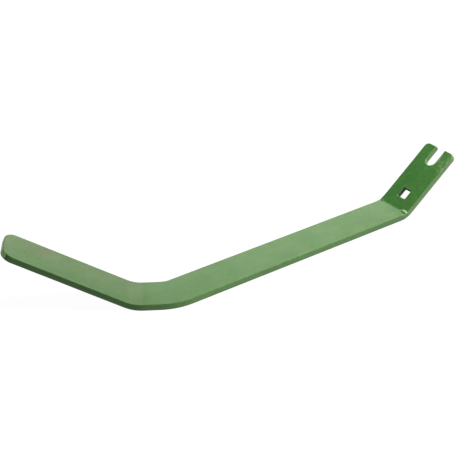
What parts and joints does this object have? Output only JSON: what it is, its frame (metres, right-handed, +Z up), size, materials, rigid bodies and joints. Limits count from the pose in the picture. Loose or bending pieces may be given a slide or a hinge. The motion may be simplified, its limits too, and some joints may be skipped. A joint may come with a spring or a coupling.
{
  "type": "harrow tine",
  "caption": "Harrow tine bent from flat steel bar: a straight shank, a cranked working leg that rises at its lower end, and a raised clamping head with a square bolt hole and an open slot.",
  "frame": {"origin": "on the underside's centre line, where the straight shank runs into the edgewise bend", "axes": "+X along the shank to the clamping head, +Z up out of the bar's upper face, and +Y to the side that the edgewise bend and the leg turn to"},
  "size_m": [0.6091, 0.144, 0.0846],
  "materials": {
    "green_paint": "semi-gloss green enamel over bent steel flat bar, with faint brownish stains on the leg"
  },
  "bodies": {
    "root": {"tine_bar": "green_paint"}
  },
  "joints": []
}
